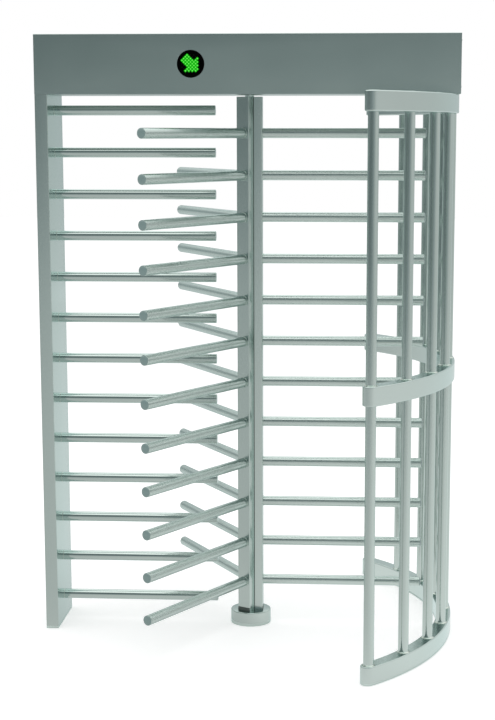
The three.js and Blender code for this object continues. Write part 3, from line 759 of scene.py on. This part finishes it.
def build_head():
    low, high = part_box("head_cover")
    height = high.z - low.z
    outer = [
        (low.y, low.z, 0),
        (low.y, high.z, SHEET_BEND),
        (high.y, high.z, SHEET_BEND),
        (high.y, low.z, 0),
    ]
    inner = [
        (high.y - SHEET, low.z, 0),
        (high.y - SHEET, high.z - SHEET, SHEET_BEND - SHEET),
        (low.y + SHEET, high.z - SHEET, SHEET_BEND - SHEET),
        (low.y + SHEET, low.z, 0),
    ]
    section = rounded_outline([*outer, *inner])
    # The section is drawn in Y and Z, and pushed along X.
    lay = Matrix(((0, 0, 1, 0), (1, 0, 0, 0), (0, 1, 0, 0), (0, 0, 0, 1)))
    wrap = moved(prism(section, low.x, high.x), lay)
    cover = add_piece("head_sheet", wrap, "head", "frame", ["head_cover"])
    for side in ("front", "rear"):
        housing_low, housing_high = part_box(f"indicator_{side}_housing")
        middle = (housing_low + housing_high) / 2
        hole = lathe([
            (0, -HOLE_REACH),
            (INDICATOR_BODY, -HOLE_REACH),
            (INDICATOR_BODY, HOLE_REACH),
            (0, HOLE_REACH),
        ], HOLE_SEGMENTS)
        face = low.y if side == "front" else high.y
        turn = Matrix.Rotation(QUARTER_TURN, 4, "X")
        cut(cover, moved(hole, Matrix.Translation((middle.x, face, middle.z)) @ turn))
    inset = SHEET + END_PLATE_GROOVE
    plate = rounded_outline([
        (low.y + inset, low.z, 0),
        (high.y - inset, low.z, 0),
        (high.y - inset, high.z - inset, SHEET_BEND - SHEET),
        (low.y + inset, high.z - inset, SHEET_BEND - SHEET),
    ])
    for side, x0 in (("left", low.x), ("right", high.x - SHEET)):
        shape = moved(prism(plate, x0, x0 + SHEET), lay)
        add_piece(f"head_end_{side}", shape, "head", "frame", edge=END_PLATE_EDGE)
    screws = []
    for x, direction in ((low.x, -1), (high.x, 1)):
        for y in (low.y + SCREW_INSET, high.y - SCREW_INSET):
            for z in (low.z + SCREW_INSET, high.z - SCREW_INSET):
                place = place_on((x, y, z), (direction, 0, 0))
                screws.append(moved(screw(SCREW_RADIUS, SCREW_HEIGHT), place))
    add_piece("head_end_screws", merged(screws), "machined", "frame")
    locks = []
    for share in (-LOCK_SHARE, LOCK_SHARE):
        x = (low.x + high.x) / 2 + share * (high.x - low.x)
        point = (x, high.y, low.z + height * LOCK_HEIGHT_SHARE)
        locks.append(moved(cam_lock(), place_on(point, (0, 1, 0))))
    add_piece("head_locks", merged(locks), "machined", "frame")


def cam_lock():
    """A round lock barrel with a rounded rim, standing on z = 0."""
    rim_centre = (LOCK_RADIUS - LOCK_ROUND, LOCK_PROUD - LOCK_ROUND)
    rim = arc(rim_centre, LOCK_ROUND, 0, QUARTER_TURN, EDGE_STEPS)
    core = LOCK_RADIUS * LOCK_CORE_SHARE
    floor = LOCK_PROUD * LOCK_FLOOR_SHARE
    body = lathe([(LOCK_RADIUS, 0), *rim, (core, LOCK_PROUD), (core, floor), (0, floor)], LOCK_SEGMENTS)
    x = LOCK_SLOT_WIDTH / 2
    y = LOCK_SLOT_LENGTH / 2
    slot = prism(rectangle(-x, x, -y, y, LOCK_SLOT_CORNER), 0, LOCK_PROUD * LOCK_SLOT_SHARE)
    return merged([body, slot])


build_head()


# Indicators


def arrow_cells():
    """(u, v) cells of the arrow, u along it and v across it, in steps of the diodes' pitch."""
    cells = []
    head_rows = ARROW_HEAD_WIDTH // 2
    rows = ARROW_SHAFT_ROWS + head_rows
    for row in range(rows):
        if row < ARROW_SHAFT_ROWS:
            width = ARROW_SHAFT_WIDTH
        else:
            width = ARROW_HEAD_WIDTH - 2 * (row - ARROW_SHAFT_ROWS)
        for column in range(width):
            cells.append((row - (rows - 1) / 2, column - (width - 1) / 2))
    return cells


def build_indicator(side, sign):
    low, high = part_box(f"indicator_{side}_housing")
    face = low.y if sign < 0 else high.y
    back = high.y if sign < 0 else low.y
    depth = abs(face - back)
    middle = ((low.x + high.x) / 2, face, (low.z + high.z) / 2)
    # The indicator's own frame: X to its right, Y up and Z out of the head's face.
    turn = Matrix(((-sign, 0, 0, 0), (0, 0, sign, 0), (0, 1, 0, 0), (0, 0, 0, 1)))
    place = Matrix.Translation(middle) @ turn
    edge = arc((INDICATOR_RIM - RIM_ROUND, -RIM_ROUND), RIM_ROUND, 0, QUARTER_TURN, RIM_STEPS)
    bore = INDICATOR_PANE + BORE_GAP
    housing = lathe([
        (0, -depth),
        (INDICATOR_BODY, -depth),
        (INDICATOR_BODY, -RIM_THICKNESS),
        (INDICATOR_RIM, -RIM_THICKNESS),
        *edge,
        (bore + BORE_BEVEL, 0),
        (bore, -BORE_BEVEL),
        (bore, -BORE_DEPTH),
        (0, -BORE_DEPTH),
    ], LARGE_SEGMENTS)
    names = [f"indicator_{side}_housing"]
    add_piece(f"indicator_{side}_body", housing, "plastic", "frame", names, matrix=place)
    pane = lathe([
        (INDICATOR_PANE, -PANE_DEPTH - PANE_THICKNESS),
        (INDICATOR_PANE, -PANE_DEPTH),
        (0, -PANE_DEPTH),
    ], LARGE_SEGMENTS)
    names = [f"indicator_{side}_display"]
    add_piece(f"indicator_{side}_pane", pane, "pane", "frame", names, matrix=place)
    # The arrow points down and to the right of the person who looks at it.
    tilt = Matrix.Rotation(-QUARTER_TURN / 2, 4, "Z")
    dome = lathe([(LED_RADIUS * out, LED_DOME * up) for out, up in LED_DOME_SHARES], DIODE_SEGMENTS)
    half = LED_PITCH / 2
    tile = prism(rectangle(-half, half, -half, half, TILE_CORNER), 0, TILE_THICKNESS)
    lit = arrow_cells()
    domes = []
    tiles = []
    for u, v in lit:
        spot = tilt @ Matrix.Translation((u * LED_PITCH, v * LED_PITCH, -PANE_DEPTH))
        domes.append(moved(dome, spot))
        tiles.append(moved(tile, spot))
    unlit = []
    steps = [row - (LED_ROWS - 1) / 2 for row in range(LED_ROWS)]
    for u in steps:
        for v in steps:
            reach = math.hypot(u, v) * LED_PITCH + LED_RADIUS
            if (u, v) not in lit and reach < INDICATOR_PANE - PANE_EDGE:
                spot = tilt @ Matrix.Translation((u * LED_PITCH, v * LED_PITCH, -PANE_DEPTH))
                unlit.append(moved(dome, spot))
    add_piece(f"indicator_{side}_diodes_lit", merged(domes), "led_lit", "frame", matrix=place)
    add_piece(f"indicator_{side}_glow", merged(tiles), "led_glow", "frame", matrix=place)
    add_piece(f"indicator_{side}_diodes_off", merged(unlit), "led_off", "frame", matrix=place)


build_indicator("front", -1)
build_indicator("rear", 1)


# Foot of the rotor


def build_cup():
    low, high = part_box("base_cup")
    radius = high.x
    top = high.z
    edge = arc((radius - CUP_ROUND, top - CUP_ROUND), CUP_ROUND, 0, QUARTER_TURN, CORNER_STEPS)
    shape = lathe([
        (radius - CUP_WALL, 0),
        (radius, 0),
        *edge,
        (CUP_HOLE, top),
        (CUP_HOLE, top - CUP_WALL),
        (radius - CUP_WALL, top - CUP_WALL),
    ], LARGE_SEGMENTS, closed=True)
    add_piece("column_cup", shape, "cup", "frame", ["base_cup"])


build_cup()


def build_foot():
    """Under each channel, between it and the cup: two light cheeks with a dark block between them; the
    block is painted shade that stands for the dark gap under the column.
    """
    half = WEB_WIDTH / 2
    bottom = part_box("base_cup")[1].z + FOOT_GAP
    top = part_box("rotor_wing_right")[0].z - FOOT_GAP
    face = WEB_DISTANCE - FOOT_INSET
    cheek_start = (CHANNEL_SEAM + half) / math.tan(FULL_TURN / WING_COUNT / 2)
    cheek = prism(rectangle(cheek_start, face, half - FOOT_CHEEK, half, 0), bottom, top)
    opposite = moved(cheek, Matrix.Translation((0, FOOT_CHEEK - WEB_WIDTH, 0)))
    width = half - FOOT_CHEEK - FOOT_GAP
    block = prism(rectangle(face - FOOT_BLOCK, face, -width, width, FOOT_INSET / 2), bottom, top)
    turns = [Matrix.Rotation(FULL_TURN * wing / WING_COUNT, 4, "Z") for wing in range(WING_COUNT)]
    cheeks = merged([moved(shape, turn) for turn in turns for shape in (cheek, opposite)])
    add_piece("column_foot_cheeks", cheeks, "upright", "rotor")
    # The dark blocks are painted shade of the gap under the column.
    blocks = merged([moved(block, turn) for turn in turns])
    add_piece("column_foot_blocks", blocks, "painted_foot_shade", "rotor")


build_foot()


# Finishes of the CAD nodes that stay

CAD_FINISHES = {
    "head_tray": "tray",
    "core_tube": "upright",
    "post_base_plate": "zinc",
    "mechanism_plate": "zinc",
    "solenoid_left": "zinc",
    "solenoid_right": "zinc",
    "power_supply": "zinc",
    "pivot_stand": "machined",
    "pivot_socket": "machined",
    # The shaft's finish is lightened: painted light in the gap under the head.
    "drive_shaft": "ground",
    "index_wheel": "machined",
    "damper_gear": "machined",
    "damper_pinion": "machined",
    "pawl_pin_left": "machined",
    "pawl_pin_right": "machined",
    "plunger_left": "machined",
    "plunger_right": "machined",
    "upper_bearing": "oxide",
    "lock_pawl_left": "oxide",
    "lock_pawl_right": "oxide",
    "damper_body": "oxide",
    "thrust_bearing": "bronze",
    "control_box": "enamel",
    "position_sensor": "plastic",
}

for node_name, finish_name in CAD_FINISHES.items():
    cad_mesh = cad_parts[node_name].data
    cad_mesh.materials.clear()
    cad_mesh.materials.append(materials[finish_name])


# Studio: floor, world, lamp and a card that only the reflections show

FLOOR_SIZE = 60
FLOOR_COLOUR = (0.9, 0.9, 0.9, 1)
FLOOR_LIFT_SHOWN = 0.42  # light that the floor adds for the camera
FLOOR_LIFT_GLOSSY = 0.25  # and for reflections
WHITE = (1, 1, 1, 1)
WORLD_SOFT = 0.75  # strength of the light that falls on the object
WORLD_SHOWN = 1.0  # strength of the background that is seen
LAMP_LENGTH = 5.0
LAMP_WIDTH = 3.2
LAMP_WATTS = 64
LAMP_PLACE = (-0.2, -0.1, 5.8)
LAMP_TARGET = (0, 0, 1.0)
CARD_TURN = math.radians(206)  # from +X to the direction of the card's darkest side
CARD_STEPS = 180
FULL_DEGREES = 360
HALF_DEGREES = 180
CARD_BETWEEN = 4  # steps between the rings below
# (radius, height, level on the dark side, on the light side, degrees that the dark side is turned by)
CARD_RINGS = [
    (0.085, 0.01, 0.66, 0.84, 0),
    (0.15, 0.01, 0.67, 0.86, 0),
    (0.35, 0.01, 0.72, 0.92, 0),
    (0.65, 0.01, 0.72, 0.95, 0),
    (0.9, 0.01, 0.68, 1.0, 0),
    (1.8, 0.01, 0.65, 0.96, 0),
    (3.2, 0.01, 0.63, 0.93, 0),
    (5.0, 0.01, 0.61, 0.89, 0),
    (7.5, 0.01, 0.57, 0.87, 0),
    (11.7, 0.01, 0.51, 0.81, 0),
    (14.0, 0.01, 0.47, 0.78, 0),
    (14.0, 0.4, 0.43, 0.76, 0),
    (14.0, 1.05, 0.36, 0.72, 0),
    (14.0, 1.7, 0.28, 0.69, 0),
    (14.0, 2.3, 0.205, 0.68, 0),
    (14.0, 3.0, 0.185, 0.69, 0),
    (14.0, 4.5, 0.20, 0.76, 12),
    (14.0, 8.0, 0.22, 1.12, 50),
    (14.0, 11.0, 0.21, 1.22, 62),
    (14.0, 14.0, 0.28, 1.3, 62),
    (14.0, 17.0, 1.15, 1.4, 62),
    (13.0, 26.0, 1.5, 1.5, 62),
    (8.0, 28.0, 1.5, 1.5, 62),
    (0.5, 29.0, 1.4, 1.4, 62),
]
# (degrees from the darkest direction, share of the light side)
CARD_SIDES = [
    (-180, 0.98),
    (-150, 1.0),
    (-126, 0.85),
    (-100, 0.73),
    (-60, 0.42),
    (-26, 0.12),
    (0, 0.0),
    (26, 0.02),
    (52, 0.15),
    (64, 0.28),
    (90, 0.55),
    (120, 0.93),
    (154, 0.96),
    (180, 0.98),
]
# The card is tinted where its level is low, and white where it is high.
CARD_TINT_DARK = (0.8, 1.0, 1.04)
CARD_TINT_LOW = 0.1
CARD_TINT_HIGH = 0.7


def build_floor():
    half = FLOOR_SIZE / 2
    mesh = bpy.data.meshes.new("floor")
    corners = [(-half, -half, 0), (half, -half, 0), (half, half, 0), (-half, half, 0)]
    mesh.from_pydata(corners, [], [tuple(range(len(corners)))])
    material, tree, shader = new_material("floor_white")
    shader.inputs["Base Color"].default_value = FLOOR_COLOUR
    shader.inputs["Roughness"].default_value = 1
    shader.inputs["Specular IOR Level"].default_value = 0
    shader.inputs["Emission Color"].default_value = WHITE
    path = node(tree, "ShaderNodeLightPath")
    glossy = map_range(tree, shown_rays(tree, path), 0, FLOOR_LIFT_GLOSSY)
    camera = map_range(tree, path.outputs["Is Camera Ray"], 0, FLOOR_LIFT_SHOWN)
    lift = node(tree, "ShaderNodeMath", operation="MAXIMUM")
    tree.links.new(glossy, lift.inputs[0])
    tree.links.new(camera, lift.inputs[1])
    tree.links.new(lift.outputs[0], shader.inputs["Emission Strength"])
    mesh.materials.append(material)
    floor = bpy.data.objects.new("floor", mesh)
    bpy.context.scene.collection.objects.link(floor)


def shown_rays(tree, path):
    """1 for the rays that show the background: the camera's, and those in metal and glass."""
    either = node(tree, "ShaderNodeMath", operation="MAXIMUM")
    tree.links.new(path.outputs["Is Camera Ray"], either.inputs[0])
    tree.links.new(path.outputs["Is Glossy Ray"], either.inputs[1])
    every = node(tree, "ShaderNodeMath", operation="MAXIMUM")
    tree.links.new(either.outputs[0], every.inputs[0])
    tree.links.new(path.outputs["Is Transmission Ray"], every.inputs[1])
    return every.outputs[0]


def build_world():
    world = bpy.data.worlds.new("studio")
    bpy.context.scene.world = world
    world.use_nodes = True
    tree = world.node_tree
    tree.nodes.clear()
    path = node(tree, "ShaderNodeLightPath")
    soft = node(tree, "ShaderNodeBackground", Color=WHITE, Strength=WORLD_SOFT)
    shown = node(tree, "ShaderNodeBackground", Color=WHITE, Strength=WORLD_SHOWN)
    either = node(tree, "ShaderNodeMixShader")
    output = node(tree, "ShaderNodeOutputWorld")
    tree.links.new(shown_rays(tree, path), either.inputs["Fac"])
    tree.links.new(soft.outputs[0], either.inputs[1])
    tree.links.new(shown.outputs[0], either.inputs[2])
    tree.links.new(either.outputs[0], output.inputs["Surface"])


def between(t, a, b, c, d):
    """The value at share t of the way from b to c, on a smooth curve that a and d are on too."""
    slope = t * (c - a) / 2
    bend = t * t * (a - 5 * b / 2 + 2 * c - d / 2)
    twist = t ** 3 * (3 * (b - c) + d - a) / 2
    return b + slope + bend + twist


def smooth_through(points, steps):
    """Points on a smooth curve through these ones, with this many steps between two of them."""
    curve = []
    last = len(points) - 1
    for index in range(last):
        before = points[max(index - 1, 0)]
        start = points[index]
        end = points[index + 1]
        after = points[min(index + 2, last)]
        for step in range(steps):
            t = step / steps
            curve.append(tuple(
                between(t, *values) for values in zip(before, start, end, after)
            ))
    curve.append(points[last])
    return curve


CARD_CURVE = smooth_through(CARD_SIDES, CARD_BETWEEN)


def side_share(angle):
    """The share of the card's light side at this many degrees from its darkest direction."""
    pairs = zip(CARD_CURVE, CARD_CURVE[1:])
    low, high = next(pair for pair in pairs if pair[0][0] <= angle <= pair[1][0])
    return low[1] + (high[1] - low[1]) * (angle - low[0]) / (high[0] - low[0])


def card_colour(level):
    share = min(max((level - CARD_TINT_LOW) / (CARD_TINT_HIGH - CARD_TINT_LOW), 0), 1)
    return [level * (tint + share * (1 - tint)) for tint in CARD_TINT_DARK]


def card_material():
    """The card shines with the colour that its mesh carries."""
    material = bpy.data.materials.new("studio_card")
    material.use_nodes = True
    tree = material.node_tree
    tree.nodes.clear()
    colour = node(tree, "ShaderNodeAttribute", attribute_name="level")
    emission = node(tree, "ShaderNodeEmission")
    tree.links.new(colour.outputs["Color"], emission.inputs["Color"])
    output = node(tree, "ShaderNodeOutputMaterial")
    tree.links.new(emission.outputs[0], output.inputs["Surface"])
    material.cycles.emission_sampling = "NONE"
    return material


def build_card():
    """A wide round card for the metal to reflect: light low and overhead, dark between on one side."""
    rings = smooth_through(CARD_RINGS, CARD_BETWEEN)
    vertices = []
    colours = []
    for radius, height, dark, light, turn in rings:
        for step in range(CARD_STEPS):
            away = FULL_DEGREES * step / CARD_STEPS - HALF_DEGREES
            angle = CARD_TURN + math.radians(away)
            vertices.append((radius * math.cos(angle), radius * math.sin(angle), height))
            side = (away - turn + HALF_DEGREES) % FULL_DEGREES - HALF_DEGREES
            colours.append(card_colour(dark + side_share(side) * (light - dark)))
    faces = []
    for ring in range(len(rings) - 1):
        for step in range(CARD_STEPS):
            after = (step + 1) % CARD_STEPS
            low = ring * CARD_STEPS
            high = low + CARD_STEPS
            faces.append([low + step, low + after, high + after, high + step])
    mesh = bpy.data.meshes.new("studio_card")
    mesh.from_pydata(vertices, [], faces)
    levels = mesh.color_attributes.new("level", "FLOAT_COLOR", "POINT")
    for entry, colour in zip(levels.data, colours):
        entry.color = (*colour, 1)
    mesh.materials.append(card_material())
    card = bpy.data.objects.new("studio_card", mesh)
    bpy.context.scene.collection.objects.link(card)
    card.visible_camera = False
    card.visible_diffuse = False
    card.visible_shadow = False


def build_lamp():
    data = bpy.data.lights.new("softbox", "AREA")
    data.shape = "RECTANGLE"
    data.size = LAMP_LENGTH
    data.size_y = LAMP_WIDTH
    data.energy = LAMP_WATTS
    lamp = bpy.data.objects.new("softbox", data)
    lamp.location = LAMP_PLACE
    aim = Vector(LAMP_TARGET) - lamp.location
    lamp.rotation_euler = aim.to_track_quat("-Z", "Y").to_euler()
    lamp.visible_glossy = False
    bpy.context.scene.collection.objects.link(lamp)


build_floor()
build_world()
build_card()
build_lamp()


# Camera, as fitted to the photo's edges; angles in radians

CAMERA_PLACE = (0.470, -6.181, 1.939)
CAMERA_YAW = 0.0593
CAMERA_PITCH = 0.1556
SENSOR_WIDTH = 36
LONG_SIDE = 720
FOCAL_PIXELS = 1598.96
SHIFT_RIGHT_PIXELS = -29.1
SHIFT_UP_PIXELS = 22.9

camera_data = bpy.data.cameras.new("camera")
camera_data.sensor_width = SENSOR_WIDTH
camera_data.lens = FOCAL_PIXELS * SENSOR_WIDTH / LONG_SIDE
camera_data.shift_x = SHIFT_RIGHT_PIXELS / LONG_SIDE
camera_data.shift_y = SHIFT_UP_PIXELS / LONG_SIDE
camera = bpy.data.objects.new("camera", camera_data)
camera.location = CAMERA_PLACE
camera.rotation_euler = (QUARTER_TURN - CAMERA_PITCH, 0, CAMERA_YAW)
bpy.context.scene.collection.objects.link(camera)
bpy.context.scene.camera = camera
bpy.context.scene.view_settings.view_transform = "Standard"
